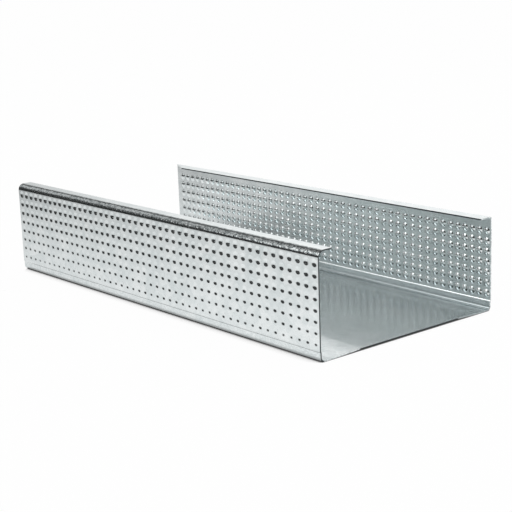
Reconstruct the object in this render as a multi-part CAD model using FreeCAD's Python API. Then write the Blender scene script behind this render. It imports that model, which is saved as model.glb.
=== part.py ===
import FreeCAD, Part
import math
import os

# Lipped drywall framing channel, roll-formed from one strip of galvanised sheet.
# It lies on its web with the open side up. X runs along its length, Y across the web,
# Z up. The origin is at the middle of the length and width, on the plane it lies on.
# The tall flange is on the -Y side, the short flange on the +Y side.

# Driving dimensions, in millimetres
sheet_thickness = 0.6
channel_length = 220.0
web_width = 100.0
tall_flange_height = 43.8
short_flange_height = 41.0
lip_width = 7.2
web_bend_outer_radius = 2.0
tall_lip_bend_outer_radius = 3.0
short_lip_bend_outer_radius = 1.0

# The short flange's lip has its corner snipped off on a slant at the -X end
lip_snip_length = 12.5
lip_snip_width = 6.5

# The middle of the web is rolled up off the floor by a gentle slope along each flange
web_foot_width = 6.0
web_step_run = 16.0
web_step_rise = 0.6
web_step_radius = 40.0

# A plain band beside the web is set in from the knurled field of each flange by a small shoulder
plain_band_height = 4.0
shoulder_run = 0.4
shoulder_depth = 0.25
shoulder_radius = 0.4


def bend(radius):
    """A bend's radius at the middle of the sheet, from its radius outside."""
    return radius - sheet_thickness / 2


def half_section(side, flange_height, lip_bend_outer_radius):
    """Corners (y, z, bend radius) of the sheet's middle, from one lip's free edge to the web."""
    face = web_width / 2 - sheet_thickness / 2
    band = face - shoulder_depth
    top = flange_height - sheet_thickness / 2
    floor = sheet_thickness / 2
    shoulder_top = plain_band_height + shoulder_run
    foot_end = web_width / 2 - web_foot_width
    step_end = foot_end - web_step_run
    return [
        (side * (web_width / 2 - lip_width), top, 0),
        (side * face, top, bend(lip_bend_outer_radius)),
        (side * face, shoulder_top, shoulder_radius),
        (side * band, plain_band_height, shoulder_radius),
        (side * band, floor, bend(web_bend_outer_radius)),
        (side * foot_end, floor, web_step_radius),
        (side * step_end, floor + web_step_rise, web_step_radius),
    ]


def direction(start, end):
    """Unit vector from one corner to the next, in the plane of the section."""
    length = math.hypot(end[0] - start[0], end[1] - start[1])
    return (end[0] - start[0]) / length, (end[1] - start[1]) / length


def sheet_side(corners, offset):
    """Edges along one face of the sheet, at an offset to the left of its middle line."""
    runs = [direction(a, b) for a, b in zip(corners, corners[1:])]

    def beside(corner, run, along):
        y = corner[0] + run[0] * along - run[1] * offset
        z = corner[1] + run[1] * along + run[0] * offset
        return FreeCAD.Vector(0, y, z)

    edges = []
    start = beside(corners[0], runs[0], 0)
    for corner, before, after in zip(corners[1:], runs, runs[1:]):
        turn_sine = before[0] * after[1] - before[1] * after[0]
        turn_cosine = before[0] * after[0] + before[1] * after[1]
        turn = math.atan2(turn_sine, turn_cosine)
        back = corner[2] * math.tan(abs(turn) / 2)
        arc_start = beside(corner, before, -back)
        arc_end = beside(corner, after, back)
        # the bend's centre is on the inside of the turn, and the middle of the arc faces the corner
        inward = math.copysign(corner[2], turn)
        centre = FreeCAD.Vector(
            0,
            corner[0] - before[0] * back - before[1] * inward,
            corner[1] - before[1] * back + before[0] * inward,
        )
        to_corner = FreeCAD.Vector(0, corner[0], corner[1]) - centre
        to_corner.normalize()
        arc_middle = centre + to_corner * arc_start.distanceToPoint(centre)
        edges.append(Part.LineSegment(start, arc_start).toShape())
        edges.append(Part.Arc(arc_start, arc_middle, arc_end).toShape())
        start = arc_end
    edges.append(Part.LineSegment(start, beside(corners[-1], runs[-1], 0)).toShape())
    return edges


def rolled_sheet(corners):
    """The strip bent along these corners, cut square at both ends."""
    inner = sheet_side(corners, sheet_thickness / 2)
    outer = sheet_side(corners, -sheet_thickness / 2)
    first_edge = Part.LineSegment(inner[0].Vertexes[0].Point, outer[0].Vertexes[0].Point).toShape()
    last_edge = Part.LineSegment(inner[-1].Vertexes[1].Point, outer[-1].Vertexes[1].Point).toShape()
    outline = Part.Wire(Part.__sortEdges__(inner + [last_edge] + outer + [first_edge]))
    section = Part.Face(outline)
    section.translate(FreeCAD.Vector(-channel_length / 2, 0, 0))
    return section.extrude(FreeCAD.Vector(channel_length, 0, 0))


def snipped_corner():
    """The piece that falls off where the short flange's lip is snipped, a little larger than the lip."""
    free_edge = web_width / 2 - lip_width
    bottom = short_flange_height - 2 * sheet_thickness
    on_end = FreeCAD.Vector(-channel_length / 2, free_edge + lip_snip_width, bottom)
    on_edge = FreeCAD.Vector(-channel_length / 2 + lip_snip_length, free_edge, bottom)
    overrun_share = 0.1
    overrun = (on_edge - on_end) * overrun_share
    start = on_end - overrun
    end = on_edge + overrun
    outside = FreeCAD.Vector(start.x, end.y, bottom)
    triangle = Part.Face(Part.makePolygon([start, end, outside, start]))
    return triangle.extrude(FreeCAD.Vector(0, 0, 3 * sheet_thickness))


tall_half = half_section(-1, tall_flange_height, tall_lip_bend_outer_radius)
short_half = half_section(1, short_flange_height, short_lip_bend_outer_radius)
whole_channel = rolled_sheet(tall_half + short_half[::-1])
lipped_channel = whole_channel.cut(snipped_corner()).Solids[0]

os.makedirs("parts", exist_ok=True)
lipped_channel.exportStep("parts/lipped_channel.step")
print("lipped_channel", lipped_channel.ShapeType, lipped_channel.isValid(), lipped_channel.Volume, "mm3")
print("box", lipped_channel.BoundBox)
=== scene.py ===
import math

import bpy
import numpy as np
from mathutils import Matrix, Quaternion, Vector


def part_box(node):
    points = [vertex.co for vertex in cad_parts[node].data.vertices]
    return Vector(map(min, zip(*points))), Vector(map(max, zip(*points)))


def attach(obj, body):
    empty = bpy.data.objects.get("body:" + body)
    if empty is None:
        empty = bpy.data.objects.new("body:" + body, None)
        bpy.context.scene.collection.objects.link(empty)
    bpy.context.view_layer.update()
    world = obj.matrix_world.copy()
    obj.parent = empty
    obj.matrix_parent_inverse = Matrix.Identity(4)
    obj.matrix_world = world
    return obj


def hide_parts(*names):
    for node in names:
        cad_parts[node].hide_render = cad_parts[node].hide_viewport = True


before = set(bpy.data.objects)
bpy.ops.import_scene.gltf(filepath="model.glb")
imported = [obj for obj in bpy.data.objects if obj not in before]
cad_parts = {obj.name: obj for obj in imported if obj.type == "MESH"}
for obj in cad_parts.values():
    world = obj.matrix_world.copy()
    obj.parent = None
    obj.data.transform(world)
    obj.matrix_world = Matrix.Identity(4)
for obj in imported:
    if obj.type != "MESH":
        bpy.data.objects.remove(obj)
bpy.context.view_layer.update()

MM = 0.001
NODE = "lipped_channel"
low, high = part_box(NODE)

# The channel's sizes: the overall ones come from the frame, the rest repeat the solid's
half_length = (high[0] - low[0]) / 2
half_width = (high[1] - low[1]) / 2
tall_flange_height = high[2]
short_flange_height = 41.0 * MM
sheet_thickness = 0.6 * MM
half_sheet = sheet_thickness / 2
lip_width = 7.2 * MM
web_bend_outer_radius = 2.0 * MM
tall_lip_bend_outer_radius = 3.0 * MM
short_lip_bend_outer_radius = 1.0 * MM
lip_snip_length = 12.5 * MM
lip_snip_width = 6.5 * MM
web_foot_width = 6.0 * MM
web_step_run = 16.0 * MM
web_step_rise = 0.6 * MM
web_step_radius = 40.0 * MM
plain_band_height = 4.0 * MM
shoulder_run = 0.4 * MM
shoulder_depth = 0.25 * MM
shoulder_radius = 0.4 * MM

# Sheared and slit edges are eased by this much where the blade rolled them over
edge_ease = 0.1 * MM

# The dimples, pressed in from outside: pits on the outer face, bumps on the inner one.
# A fullness of 1 gives a plain dish, and a higher one lets the rim run out flatter.
# The rings are the circles of mesh points round a dimple, as shares of its radius.
pit_radius = 1.85 * MM
pit_fullness = 2.0
pit_rings = (1.0, 0.75, 0.45)
bump_radius = 1.85 * MM
bump_fullness = 1.15
bump_rings = (1.0, 0.88, 0.5)
depth_scatter = (0.92, 1.08)
centre_scatter = 0.05 * MM

# The dimpled field of each flange: its rows, the depths of its lowest and highest row,
# and the share of them that is left at the -X end, where the rolls pressed less
field_bottom = 5.15 * MM
field_top_gap = 0.05 * MM
full_depth_from = -20.0 * MM
tall_rows = 8
tall_first_row = 7.75 * MM
tall_row_pitch = 4.44 * MM
tall_depths = (0.36 * MM, 0.47 * MM)
tall_end_share = 0.82
short_rows = 7
short_first_row = 7.4 * MM
short_row_pitch = 4.53 * MM
short_depths = (0.7 * MM, 0.7 * MM)
short_end_share = 0.8

# The forming rolls spaced the columns unevenly: some columns by number, and where each stands
# along the length, in millimetres
tall_columns = {0: -107.0, 17: -31.2, 32: 38.1, 47: 107.9}
short_columns = {0: -105.2, 17: -32.2, 26: 7.0, 44: 87.7, 49: 107.8}

# How far the rolls burnished the zinc: 0 is dull as dipped, 1 is rubbed bright and scuffed
lip_bend_shine = 1.0
pit_shine = 0.5
bump_shine = 0.5
web_shine = 0.26
outer_shine = 0.25
tall_band_shine = 0.6
short_band_shine = 0.2

# How finely the mesh is divided, and how near two points are that weld
bend_steps = 8
ring_points = 16
ring_count = len(pit_rings)
length_steps = 12
weld_grid = 0.0002 * MM
weld_grid_shift = 0.37

# A sheet lies level where its normal is this near to upright
level_normal = 0.9

GALVANISED, SHEARED = 0, 1

rng = np.random.default_rng(7)


class Skin:
    """Collects patches of the sheet's surface, then welds them into one closed mesh."""

    def __init__(self):
        self.points = []
        self.normals = []
        self.burnish = []
        self.faces = []
        self.count = 0

    def add(self, points, normals, burnish, faces, finish):
        """One patch: its points, the normal and the burnish at each, its faces by index, and their finish."""
        points = np.asarray(points, float)
        normals = np.asarray(normals, float)
        for face in faces:
            a, b, c = (points[i] for i in face[:3])
            outward = np.dot(np.cross(b - a, c - a), normals[list(face)].sum(axis=0))
            ordered = face if outward > 0 else face[::-1]
            self.faces.append((tuple(i + self.count for i in ordered), finish))
        self.points.append(points)
        self.normals.append(normals)
        self.burnish.append(np.broadcast_to(burnish, len(points)))
        self.count += len(points)

    def mesh(self, name):
        """The welded mesh, with each face's own corner normals."""
        points = np.concatenate(self.points)
        normals = np.concatenate(self.normals)
        normals /= np.linalg.norm(normals, axis=1)[:, None]
        # the grid is shifted so that the channel's round sizes don't fall on its borders
        keys = np.floor(points / weld_grid + weld_grid_shift).astype(np.int64)
        _, first, welded = np.unique(keys, axis=0, return_index=True, return_inverse=True)
        welded = welded.ravel()
        faces, corner_normals, finishes = [], [], []
        for face, finish in self.faces:
            kept = [i for k, i in enumerate(face) if welded[i] != welded[face[k - 1]]]
            if len(kept) > 2:
                faces.append([int(welded[i]) for i in kept])
                corner_normals.extend(normals[i] for i in kept)
                finishes.append(finish)
        mesh = bpy.data.meshes.new(name)
        mesh.from_pydata(points[first].tolist(), [], faces)
        mesh.polygons.foreach_set("use_smooth", [True] * len(faces))
        mesh.polygons.foreach_set("material_index", finishes)
        burnish = mesh.attributes.new("burnish", "FLOAT", "POINT")
        burnish.data.foreach_set("value", np.concatenate(self.burnish)[first])
        mesh.normals_split_custom_set([tuple(n) for n in corner_normals])
        mesh.update()
        return mesh


def half_corners(flange_height, lip_bend_outer_radius):
    """Corners (y, z, bend radius) of the sheet's middle on the -Y side, from lip edge to web middle."""
    face = half_width - half_sheet
    band = face - shoulder_depth
    top = flange_height - half_sheet
    foot_end = half_width - web_foot_width
    step_end = foot_end - web_step_run
    return [
        (-half_width + lip_width, top, 0),
        (-face, top, lip_bend_outer_radius - half_sheet),
        (-face, plain_band_height + shoulder_run, shoulder_radius),
        (-band, plain_band_height, shoulder_radius),
        (-band, half_sheet, web_bend_outer_radius - half_sheet),
        (-foot_end, half_sheet, web_step_radius),
        (-step_end, half_sheet + web_step_rise, web_step_radius),
        (0, half_sheet + web_step_rise, 0),
    ]


def stations(corners, band_shine):
    """Points (y, z) along the sheet's middle, each with its normal to the inside and its burnish."""
    runs = []
    for a, b in zip(corners, corners[1:]):
        reach = math.hypot(b[0] - a[0], b[1] - a[1])
        runs.append(((b[0] - a[0]) / reach, (b[1] - a[1]) / reach))
    made = [(corners[0][0], corners[0][1], -runs[0][1], runs[0][0], 0.0)]
    # by corner and step: the ends of the lip and of the dimpled field stay dull, and where the web starts
    dull_ends = {(1, 0), (1, bend_steps), (2, 0)}
    web_start = (4, bend_steps)
    for place, ((y, z, radius), before, after) in enumerate(zip(corners[1:], runs, runs[1:]), 1):
        turn_sine = before[0] * after[1] - before[1] * after[0]
        turn = math.atan2(turn_sine, before[0] * after[0] + before[1] * after[1])
        back = radius * math.tan(abs(turn) / 2)
        side = math.copysign(1, turn)
        centre_y = y - before[0] * back - before[1] * radius * side
        centre_z = z - before[1] * back + before[0] * radius * side
        bend_shine = lip_bend_shine if place == 1 else band_shine
        for step in range(bend_steps + 1):
            angle = turn * step / bend_steps
            run_y = before[0] * math.cos(angle) - before[1] * math.sin(angle)
            run_z = before[0] * math.sin(angle) + before[1] * math.cos(angle)
            burnish = 0.0 if (place, step) in dull_ends else bend_shine
            if (place, step) >= web_start:
                burnish = web_shine
            made.append((
                centre_y + run_z * radius * side, centre_z - run_y * radius * side, -run_z, run_y, burnish,
            ))
    made.append((corners[-1][0], corners[-1][1], -runs[-1][1], runs[-1][0], web_shine))
    return made


def line_along(station, xs, face, side):
    """Points, normals and burnish on one face of the sheet at a station, along the length."""
    y, z, ny, nz, burnish = station
    offset = half_sheet * face
    points = [(x, side * (y + ny * offset), z + nz * offset) for x in xs]
    normals = [(0, side * ny * face, nz * face)] * len(xs)
    return points, normals, [burnish] * len(xs)


def add_strip(skin, first, second, finish):
    """Faces between two lines that may have different numbers of points, from one end to the other."""
    same_place = edge_ease / 10
    points, normals, burnish = (a + b for a, b in zip(first, second))
    split = len(first[0])
    i, j, faces = 0, split, []
    while i < split - 1 or j < len(points) - 1:
        next_first = points[i + 1][0] if i < split - 1 else math.inf
        next_second = points[j + 1][0] if j < len(points) - 1 else math.inf
        if abs(next_first - next_second) < same_place:
            faces.append((i, i + 1, j + 1, j))
            i, j = i + 1, j + 1
        elif next_first < next_second:
            faces.append((i, i + 1, j))
            i += 1
        else:
            faces.append((i, j + 1, j))
            j += 1
    skin.add(points, normals, burnish, faces, finish)


def cell_faces():
    """Faces of one dimple's cell: eight points on its border, the rings, then the middle."""
    border = 8
    rings = [[border + k * ring_points + n for n in range(ring_points)] for k in range(ring_count)]
    middle = border + ring_count * ring_points
    faces = []
    for n in range(border):
        outer = rings[0]
        faces.append((n, outer[2 * n - 1], outer[2 * n]))
        faces.append((n, outer[2 * n], outer[2 * n + 1]))
        faces.append((n, outer[2 * n + 1], (n + 1) % border))
    for outer, inner in zip(rings, rings[1:]):
        for n in range(ring_points):
            after = (n + 1) % ring_points
            faces.append((outer[n], outer[after], inner[after], inner[n]))
    for n in range(ring_points):
        faces.append((rings[-1][n], rings[-1][(n + 1) % ring_points], middle))
    return faces


CELL = cell_faces()


def add_dimple(skin, x_edges, z_edges, centre, depth, form, shine, face_y, face, side):
    """One cell of the dimpled field on one face of a flange, pressed towards the inside of the channel."""
    radius, fullness, rings, flat_shine = form
    (x_low, x_high), (z_low, z_mid, z_high) = x_edges, z_edges
    x_mid = (x_low + x_high) / 2
    across = [
        (x_high, z_mid), (x_high, z_high), (x_mid, z_high), (x_low, z_high),
        (x_low, z_mid), (x_low, z_low), (x_mid, z_low), (x_high, z_low),
    ]
    push = [0.0] * len(across)
    slope = [(0.0, 0.0)] * len(across)
    burnish = [flat_shine] * len(across)
    for share in rings:
        left = 1 - share**2
        fall = -2 * fullness * share * left ** (fullness - 1) * depth / radius
        for n in range(ring_points):
            angle = 2 * math.pi * n / ring_points
            out = (math.cos(angle), math.sin(angle))
            across.append((centre[0] + radius * share * out[0], centre[1] + radius * share * out[1]))
            push.append(depth * left**fullness)
            slope.append((fall * out[0], fall * out[1]))
            burnish.append(shine if share < 1 else flat_shine)
    across.append(centre)
    push.append(depth)
    slope.append((0.0, 0.0))
    burnish.append(shine)
    points = [(x, side * (face_y + d), z) for (x, z), d in zip(across, push)]
    normals = [(-dx * face, side * face, -dz * face) for dx, dz in slope]
    skin.add(points, normals, burnish, CELL, GALVANISED)


def add_flange_field(skin, upper, lower, columns, rows, first_row, row_pitch, depths, end_share, side):
    """The dimpled flange between its lip bend and its shoulder, on both faces of the sheet."""
    skin_end = half_length - edge_ease
    count = max(columns) + 1
    x_mids = [float(x) * MM for x in np.interp(range(count), list(columns), list(columns.values()))]
    x_edges = [x_mids[0] - pit_radius - edge_ease]
    x_edges += [(a + b) / 2 for a, b in zip(x_mids, x_mids[1:])]
    x_edges += [x_mids[-1] + pit_radius + edge_ease]
    z_mids = [first_row + row_pitch * n for n in range(rows)]
    field_top = upper[-1][1] - field_top_gap
    z_edges = [field_bottom] + [z + row_pitch / 2 for z in z_mids[:-1]] + [field_top]
    x_halves = [(a + b) / 2 for a, b in zip(x_edges, x_edges[1:])]
    x_fine = sorted(x_edges + x_halves + [-skin_end, skin_end])
    z_fine = sorted(z_edges + z_mids)
    flange_y = upper[-1][0]
    pressed = np.interp(x_mids, [-half_length, full_depth_from], [end_share, 1.0])
    row_depths = np.outer(pressed, np.linspace(*depths, rows)) * rng.uniform(*depth_scatter, (count, rows))
    shifts = rng.uniform(-centre_scatter, centre_scatter, (count, rows, 2))
    # lighter pressing also burnished less: half the depth leaves no shine
    shine_shares = np.clip(2 * pressed - 1, 0, 1)
    bump_form = (bump_radius, bump_fullness, bump_rings, 0.0)
    pit_form = (pit_radius, pit_fullness, pit_rings, outer_shine)
    for face, form, full_shine in ((1, bump_form, bump_shine), (-1, pit_form, pit_shine)):
        flat_shine = form[-1]
        face_y = flange_y + half_sheet * face
        for c, x in enumerate(x_mids):
            shine = full_shine * shine_shares[c]
            for r, z in enumerate(z_mids):
                centre = (x + shifts[c, r, 0], z + shifts[c, r, 1])
                cell = x_edges[c:c + 2], (z_edges[r], z, z_edges[r + 1])
                add_dimple(skin, *cell, centre, row_depths[c, r], form, shine, face_y, face, side)
        for z, station in ((field_top, upper[-1]), (field_bottom, lower[0])):
            fine = line_along((flange_y, z, 1, 0, flat_shine), x_fine, face, side)
            add_strip(skin, line_along(station, coarse_xs, face, side), fine, GALVANISED)
        for x_end, x_edge in ((-skin_end, x_edges[0]), (skin_end, x_edges[-1])):
            points = [(x, side * face_y, z) for x in (x_end, x_edge) for z in z_fine]
            normals = [(0, side * face, 0)] * len(points)
            levels = len(z_fine)
            faces = [(n, n + 1, n + 1 + levels, n + levels) for n in range(levels - 1)]
            skin.add(points, normals, flat_shine, faces, GALVANISED)
    return [(flange_y, z, 1, 0, 0.0) for z in reversed(z_fine)]


def add_half(skin, flange_height, lip_bend_outer_radius, band_shine, field, snip_length, cut_finish, side):
    """Half of the channel, from a lip's edge to the web's middle, with its cut ends."""
    path = stations(half_corners(flange_height, lip_bend_outer_radius), band_shine)
    tip = path[0]
    path[0] = (tip[0] - edge_ease, *tip[1:])
    bend_end = bend_steps + 2
    upper, lower = path[:bend_end], path[bend_end:]

    def snip_at(y):
        """How much the slanted snip takes off the -X end of the lip, at a distance from its free edge."""
        return snip_length * max(1 - (tip[0] - y) / lip_snip_width, 0)

    def no_snip(y):
        """An end that is cut square."""
        return 0.0

    def lip_line(station, face):
        """A line along the lip or its bend that begins at the snip."""
        start = -half_length + edge_ease + snip_at(station[0] + station[2] * half_sheet * face)
        return line_along(station, [start] + [x for x in coarse_xs if x > start + edge_ease], face, side)

    for face in (1, -1):
        for a, b in zip(upper, upper[1:]):
            add_strip(skin, lip_line(a, face), lip_line(b, face), GALVANISED)
        for a, b in zip(lower, lower[1:]):
            first, second = (line_along(station, coarse_xs, face, side) for station in (a, b))
            add_strip(skin, first, second, GALVANISED)
    flange = add_flange_field(skin, upper, lower, *field, side)
    add_slit_edge(skin, path[0], tip, snip_at, side)
    for x_sign in (1, -1):
        lip_snip = snip_at if x_sign < 0 else no_snip
        slant = math.atan2(snip_length, lip_snip_width) if x_sign < 0 else 0.0
        add_cut_end(skin, upper, tip, x_sign, lip_snip, slant, cut_finish, side)
        add_cut_end(skin, upper[-1:] + flange + lower, tip, x_sign, no_snip, 0.0, cut_finish, side)


def add_slit_edge(skin, station, tip, snip_at, side):
    """The lip's free edge, slit from the coil: a flat face with an eased corner on each side."""
    inner = half_sheet - edge_ease
    rows = [
        (station[0], -half_sheet, (0, 0, -1)),
        (tip[0], -inner, (0, side, 0)),
        (tip[0], inner, (0, side, 0)),
        (station[0], half_sheet, (0, 0, 1)),
    ]
    lines = []
    for y, offset, normal in rows:
        start = -half_length + edge_ease + snip_at(y)
        xs = [start] + [x for x in coarse_xs if x > start + edge_ease]
        lines.append(([(x, side * y, tip[1] + offset) for x in xs], [normal] * len(xs), [0.0] * len(xs)))
    for a, b in zip(lines, lines[1:]):
        add_strip(skin, a, b, SHEARED)


def add_cut_end(skin, section, tip, x_sign, snip_at, slant, cut_finish, side):
    """Part of one sheared end: the cut face with an eased corner on each side, along some stations."""
    inner = half_sheet - edge_ease
    layers = ((half_sheet, True), (inner, False), (-inner, False), (-half_sheet, True))
    square = (x_sign, 0, 0)
    slanted = (x_sign * math.cos(slant), side * math.sin(slant), 0)

    def ring(station, out):
        """Points and normals through the sheet at a station, from its inside face to its outside one."""
        y, z, ny, nz, _ = station
        points, normals = [], []
        for offset, on_skin in layers:
            x = x_sign * (half_length - snip_at(y + ny * offset) - (edge_ease if on_skin else 0))
            points.append((x, side * (y + ny * offset), z + nz * offset))
            face = math.copysign(1, offset)
            normals.append((0, side * ny * face, nz * face) if on_skin else out)
        return points, normals

    for a, b in zip(section, section[1:]):
        out = slanted if snip_at(a[0]) > 0 else square
        first, second = ring(a, out), ring(b, out)
        # the web's cut edge: a bright eased corner on top and a dark torn corner below; the cut face between
        # is bright on the feet and dark on the raised middle, partly the torn steel and partly painted shade
        # for the gap beneath it
        on_web = a[3] > level_normal and a[1] < plain_band_height
        on_foot = a[1] < half_sheet + edge_ease
        for k in range(len(layers) - 1):
            bright = k == 0 or (k == 1 and on_foot)
            finish = (GALVANISED if bright else SHEARED) if on_web else cut_finish
            points = first[0][k:k + 2] + second[0][k:k + 2]
            normals = first[1][k:k + 2] + second[1][k:k + 2]
            skin.add(points, normals, 1.0, [(0, 1, 3, 2)], finish)
    if section[0][1] > plain_band_height and section[0][3] < -level_normal:
        # the corner where the cut end meets the slit edge of the lip
        points, normals = ring(section[0], slanted)
        x_skin = x_sign * (half_length - snip_at(tip[0]) - edge_ease)
        for offset in (inner, -inner):
            points.append((x_skin, side * tip[0], tip[1] + tip[3] * offset))
            normals.append((0, side, 0))
        skin.add(points, normals, 0.0, [(0, 1, 4), (1, 2, 5, 4), (2, 3, 5)], SHEARED)


def linear(hex_colour):
    """A linear RGBA colour from an sRGB hex value."""
    shares = [int(hex_colour[i:i + 2], 16) / 255 for i in (1, 3, 5)]
    return [s / 12.92 if s <= 0.04045 else ((s + 0.055) / 1.055) ** 2.4 for s in shares] + [1.0]


def add_node(tree, kind, inputs=(), **settings):
    """One node with its settings, and its inputs as values or as links from other nodes' sockets."""
    made = tree.nodes.new(kind)
    for name, value in settings.items():
        setattr(made, name, value)
    for name, value in dict(inputs).items():
        if isinstance(value, bpy.types.NodeSocket):
            tree.links.new(value, made.inputs[name])
        else:
            made.inputs[name].default_value = value
    return made


def new_material(name):
    """An empty node material and its tree."""
    material = bpy.data.materials.new(name)
    material.use_nodes = True
    material.node_tree.nodes.clear()
    return material, material.node_tree


def galvanised_steel():
    """Steel strip dipped in molten zinc, then rolled to shape.

    The eye gets pale, faintly clouded crystals with a soft sheen, and sharper highlights where the rolls
    burnished the dimples and the bends.
    """
    crystal_width = 3.5 * MM
    cloud_width = 6 * MM
    scuff_width = 0.7 * MM
    # the rolls' streaks are finer than this, and are drawn wide enough to show
    streak_width = 1.2 * MM
    wave_width = 9 * MM
    # up to this burnish the zinc only gets smoother, and past it the rolls scuff it
    smooth_by = 0.5
    material, tree = new_material("galvanised_steel_rolled")
    place = add_node(tree, "ShaderNodeTexCoord").outputs["Object"]
    # the streaks and the waves run along the strip, 25 times as long as wide
    along = add_node(
        tree, "ShaderNodeMapping", {"Vector": place, "Scale": (1 / 25, 1.0, 1.0)},
    ).outputs["Vector"]
    burnish = add_node(tree, "ShaderNodeAttribute", attribute_name="burnish").outputs["Fac"]
    # zinc crystals a few millimetres across, in two close greys
    spangle = add_node(tree, "ShaderNodeTexVoronoi", {"Vector": place, "Scale": 1 / crystal_width})
    crystal = add_node(tree, "ShaderNodeSeparateColor", {"Color": spangle.outputs["Color"]}).outputs["Red"]
    cloud = add_node(tree, "ShaderNodeTexNoise", {"Vector": place, "Scale": 1 / cloud_width, "Detail": 4.0})
    tone = add_node(
        tree, "ShaderNodeMix", {"Factor": 0.7, "A": crystal, "B": cloud.outputs["Fac"]}, data_type="FLOAT",
    )
    zinc = add_node(
        tree, "ShaderNodeMix",
        {"Factor": tone.outputs["Result"], "A": linear("#ced7d8"), "B": linear("#f5f8f8")}, data_type="RGBA",
    )
    # painted shade: the web's colour darkens towards the short flange, for the shade along that side of the
    # trough
    axes = add_node(tree, "ShaderNodeSeparateXYZ", {"Vector": place})
    beside = add_node(
        tree, "ShaderNodeMapRange",
        {"Value": axes.outputs["Y"], "From Min": -30 * MM, "From Max": 46 * MM, "To Min": 0.0, "To Max": 0.9},
        interpolation_type="SMOOTHSTEP",
    )
    web_shade_share = add_node(
        tree, "ShaderNodeMapRange",
        {
            "Value": axes.outputs["Z"], "From Min": 1.4 * MM, "From Max": 2.4 * MM,
            "To Min": beside.outputs["Result"], "To Max": 0.0,
        },
    )
    # the painted shade: the zinc mixed towards a darker grey across the web
    zinc_with_painted_shade = add_node(
        tree, "ShaderNodeMix",
        {"Factor": web_shade_share.outputs["Result"], "A": zinc.outputs["Result"], "B": linear("#99a2a4")},
        data_type="RGBA",
    )
    # short dark scuffs where the rolls pressed hardest, on the bends
    pressed = add_node(
        tree, "ShaderNodeMapRange", {"Value": burnish, "From Min": smooth_by, "To Min": 0.08, "To Max": 1.0},
    ).outputs["Result"]
    short = add_node(tree, "ShaderNodeMapping", {"Vector": place, "Scale": (0.5, 1.0, 1.0)}).outputs["Vector"]
    chatter = add_node(
        tree, "ShaderNodeTexNoise", {"Vector": short, "Scale": 1 / scuff_width, "Detail": 2.0},
    ).outputs["Fac"]
    scuff = add_node(
        tree, "ShaderNodeMapRange", {"Value": chatter, "From Min": 0.42, "From Max": 0.62, "To Max": pressed},
    )
    skin = add_node(
        tree, "ShaderNodeMix",
        {"Factor": scuff.outputs["Result"], "A": zinc_with_painted_shade.outputs["Result"], "B": linear("#a3abac")},
        data_type="RGBA",
    )
    # dull and less dull streaks along the strip
    streak = add_node(tree, "ShaderNodeTexNoise", {"Vector": along, "Scale": 1 / streak_width, "Detail": 3.0})
    dull = add_node(
        tree, "ShaderNodeMapRange",
        {"Value": streak.outputs["Fac"], "From Min": 0.3, "From Max": 0.7, "To Min": 0.25, "To Max": 0.34},
    )
    rough = add_node(
        tree, "ShaderNodeMapRange",
        {"Value": burnish, "From Max": smooth_by, "To Min": dull.outputs["Result"], "To Max": 0.14},
    )
    # the relief the rolls left: long waves, and the scuffs
    wave = add_node(tree, "ShaderNodeTexNoise", {"Vector": along, "Scale": 1 / wave_width, "Detail": 2.0})
    rolled = add_node(
        tree, "ShaderNodeBump", {"Height": wave.outputs["Fac"], "Strength": 0.25, "Distance": 0.15 * MM},
    )
    marked = add_node(
        tree, "ShaderNodeBump",
        {"Height": chatter, "Strength": pressed, "Distance": 0.1 * MM, "Normal": rolled.outputs["Normal"]},
    )
    shader = add_node(
        tree, "ShaderNodeBsdfPrincipled",
        {
            "Base Color": skin.outputs["Result"], "Metallic": 1.0,
            "Roughness": rough.outputs["Result"], "Normal": marked.outputs["Normal"],
        },
    )
    add_node(tree, "ShaderNodeOutputMaterial", {"Surface": shader.outputs["BSDF"]})
    return material


def sheared_steel():
    """Bare steel where the strip was slit and the piece sheared off.

    The eye gets a dark, matt edge, uneven where the steel tore.
    """
    # the tears are finer than this, and are drawn coarse enough to show
    tear_width = 0.4 * MM
    material, tree = new_material("sheared_steel_edge")
    place = add_node(tree, "ShaderNodeTexCoord").outputs["Object"]
    tear = add_node(tree, "ShaderNodeTexNoise", {"Vector": place, "Scale": 1 / tear_width, "Detail": 2.0})
    colour = add_node(
        tree, "ShaderNodeMix",
        {"Factor": tear.outputs["Fac"], "A": linear("#34383a"), "B": linear("#5c6264")}, data_type="RGBA",
    )
    shader = add_node(
        tree, "ShaderNodeBsdfPrincipled",
        {"Base Color": colour.outputs["Result"], "Metallic": 1.0, "Roughness": 0.45},
    )
    add_node(tree, "ShaderNodeOutputMaterial", {"Surface": shader.outputs["BSDF"]})
    return material


# The dimpled channel, in place of the plain solid
skin_reach = half_length - edge_ease
coarse_xs = [float(x) for x in np.linspace(-skin_reach, skin_reach, length_steps + 1)]
tall_field = (tall_columns, tall_rows, tall_first_row, tall_row_pitch, tall_depths, tall_end_share)
short_field = (short_columns, short_rows, short_first_row, short_row_pitch, short_depths, short_end_share)
sheet_skin = Skin()
add_half(
    sheet_skin, tall_flange_height, tall_lip_bend_outer_radius, tall_band_shine, tall_field,
    snip_length=0.0, cut_finish=SHEARED, side=1,
)
add_half(
    sheet_skin, short_flange_height, short_lip_bend_outer_radius, short_band_shine, short_field,
    snip_length=lip_snip_length, cut_finish=GALVANISED, side=-1,
)
channel = bpy.data.objects.new("dimpled_channel", sheet_skin.mesh("dimpled_channel"))
bpy.context.scene.collection.objects.link(channel)
channel.data.materials.append(galvanised_steel())
channel.data.materials.append(sheared_steel())
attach(channel, "root")
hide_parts(NODE)


# The studio's dark side, in front of the channel and to its left, and where the white paper ends towards it
dark_side = Vector((-0.70, -0.71, 0.0)).normalized()
paper_edge_starts = 0.30
paper_edge_ends = 0.46


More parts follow.
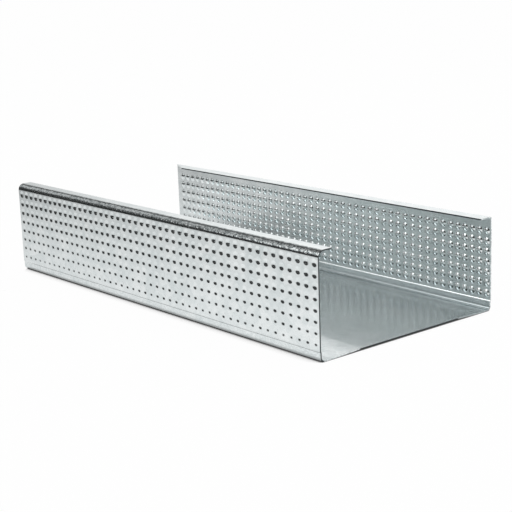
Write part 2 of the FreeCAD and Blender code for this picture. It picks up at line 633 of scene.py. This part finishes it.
def studio_floor():
    """White paper, matt and spread wide.

    The eye gets plain white that darkens only where the channel shuts off the light.
    """
    material, tree = new_material("white_studio_floor")
    path = add_node(tree, "ShaderNodeLightPath")
    near = add_node(tree, "ShaderNodeAmbientOcclusion", {"Distance": 8 * MM}, samples=8)
    open_from = add_node(
        tree, "ShaderNodeMapRange", {"Value": path.outputs["Is Glossy Ray"], "To Min": 0.6, "To Max": 0.85},
    )
    shade = add_node(
        tree, "ShaderNodeMapRange",
        {
            "Value": near.outputs["AO"], "From Min": 0.2, "From Max": open_from.outputs["Result"],
            "To Min": 0.03, "To Max": 1.0,
        },
    )
    # the metal mirrors the dark floor that lies past the edge of the white paper
    place = add_node(tree, "ShaderNodeTexCoord").outputs["Object"]
    past = add_node(tree, "ShaderNodeVectorMath", {0: place, 1: dark_side}, operation="DOT_PRODUCT")
    fade = add_node(
        tree, "ShaderNodeMapRange",
        {"Value": past.outputs["Value"], "From Min": 0.0, "From Max": 0.42, "To Min": 1.0, "To Max": 0.62},
    )
    edge = add_node(
        tree, "ShaderNodeMapRange",
        {
            "Value": past.outputs["Value"], "From Min": paper_edge_starts, "From Max": paper_edge_ends,
            "To Min": fade.outputs["Result"], "To Max": 0.0,
        },
        interpolation_type="SMOOTHSTEP",
    )
    mirrored = add_node(
        tree, "ShaderNodeMapRange",
        {"Value": path.outputs["Is Glossy Ray"], "To Min": 1.0, "To Max": edge.outputs["Result"]},
    )
    lit = add_node(
        tree, "ShaderNodeMath",
        {0: shade.outputs["Result"], 1: mirrored.outputs["Result"]}, operation="MULTIPLY",
    )
    glow = add_node(tree, "ShaderNodeEmission", {"Color": (1, 1, 1, 1), "Strength": lit.outputs["Value"]})
    paper = add_node(tree, "ShaderNodeBsdfDiffuse", {"Color": linear("#e6e6e6")})
    seen = add_node(
        tree, "ShaderNodeMath",
        {0: path.outputs["Is Camera Ray"], 1: path.outputs["Is Glossy Ray"]}, operation="MAXIMUM",
    )
    seen_through = add_node(
        tree, "ShaderNodeMath",
        {0: seen.outputs["Value"], 1: path.outputs["Is Transmission Ray"]}, operation="MAXIMUM",
    )
    part = add_node(tree, "ShaderNodeMath", {0: seen_through.outputs["Value"], 1: 0.98}, operation="MULTIPLY")
    surface = add_node(
        tree, "ShaderNodeMixShader",
        {"Fac": part.outputs["Value"], 1: paper.outputs["BSDF"], 2: glow.outputs["Emission"]},
    )
    add_node(tree, "ShaderNodeOutputMaterial", {"Surface": surface.outputs["Shader"]})
    return material


# The floor lies a hair below the channel
floor_reach = 6.0
floor_height = -0.05 * MM
floor_corners = [
    (x * floor_reach, y * floor_reach, floor_height) for x, y in ((-1, -1), (1, -1), (1, 1), (-1, 1))
]
floor_mesh = bpy.data.meshes.new("floor")
floor_mesh.from_pydata(floor_corners, [], [(0, 1, 2, 3)])
floor = bpy.data.objects.new("floor", floor_mesh)
bpy.context.scene.collection.objects.link(floor)
floor.data.materials.append(studio_floor())

# The camera, fitted to the photograph's outlines
camera_place = Vector((0.4441, -0.3584, 0.1505))
camera_aim = Vector((0.0221, -0.0066, 0.0200))
camera_roll = math.radians(-1.98)
camera = bpy.data.objects.new("camera", bpy.data.cameras.new("camera"))
bpy.context.scene.collection.objects.link(camera)
camera.data.sensor_width = 36.0
camera.data.lens = 88.5
camera.location = camera_place
camera.rotation_mode = "QUATERNION"
camera_turn = (camera_aim - camera_place).to_track_quat("-Z", "Y")
camera.rotation_quaternion = camera_turn @ Quaternion((0, 0, 1), camera_roll)
bpy.context.scene.camera = camera

# Each light of the room: where it is, the cosines at its outer and inner edge, and its strength
room_lights = (
    # a pale wall on the right and a white one behind
    ((0.80, 0.45, 0.40), 0.20, 0.80, 0.7),
    ((-0.25, 0.95, 0.20), 0.50, 0.85, 1.1),
    # a soft lamp high in front
    ((-0.47, -0.58, 0.67), 0.950, 0.980, 4.0),
    # two pale patches on the left, one high and one low
    ((-0.87, -0.12, 0.47), 0.955, 0.985, 0.55),
    ((-0.99, -0.05, 0.12), 0.95, 0.985, 0.9),
    # a strip of light above the dark side
    ((-0.67, -0.60, 0.44), 0.984, 0.995, 1.2),
    ((-0.50, -0.74, 0.45), 0.984, 0.995, 1.2),
    ((-0.25, -0.87, 0.42), 0.984, 0.995, 1.2),
)


def studio_room():
    """A dim room, white to the eye, in which the metal mirrors pale walls and soft lights."""
    world = bpy.data.worlds.new("studio_room")
    world.use_nodes = True
    tree = world.node_tree
    tree.nodes.clear()
    direction = add_node(tree, "ShaderNodeTexCoord").outputs["Generated"]
    height = add_node(tree, "ShaderNodeSeparateXYZ", {"Vector": direction}).outputs["Z"]
    level = add_node(
        tree, "ShaderNodeMapRange",
        {"Value": height, "From Min": 0.36, "From Max": 0.50, "To Min": 0.05, "To Max": 0.10},
        interpolation_type="SMOOTHSTEP",
    ).outputs["Result"]
    for towards, edge, core, brightness in room_lights:
        near = add_node(
            tree, "ShaderNodeVectorMath",
            {0: direction, 1: Vector(towards).normalized()}, operation="DOT_PRODUCT",
        )
        level = add_node(
            tree, "ShaderNodeMapRange",
            {
                "Value": near.outputs["Value"], "From Min": edge, "From Max": core,
                "To Min": level, "To Max": brightness,
            },
            interpolation_type="SMOOTHSTEP",
        ).outputs["Result"]
    path = add_node(tree, "ShaderNodeLightPath")
    shown = add_node(
        tree, "ShaderNodeMapRange", {"Value": path.outputs["Is Camera Ray"], "To Min": level, "To Max": 1.0},
    )
    sky = add_node(tree, "ShaderNodeBackground", {"Color": (1, 1, 1, 1), "Strength": shown.outputs["Result"]})
    add_node(tree, "ShaderNodeOutputWorld", {"Surface": sky.outputs["Background"]})
    return world


bpy.context.scene.world = studio_room()


def add_softbox(name, place, aim, size, power):
    """A square soft lamp, pointed at the channel."""
    lamp = bpy.data.lights.new(name, "AREA")
    lamp.size = size
    lamp.energy = power
    holder = bpy.data.objects.new(name, lamp)
    bpy.context.scene.collection.objects.link(holder)
    holder.location = place
    holder.rotation_mode = "QUATERNION"
    holder.rotation_quaternion = (Vector(aim) - Vector(place)).to_track_quat("-Z", "Y")


add_softbox("overhead_softbox", place=(0.1, 0.3, 1.2), aim=(0, 0, 0), size=0.9, power=4.0)

bpy.context.scene.view_settings.view_transform = "Standard"
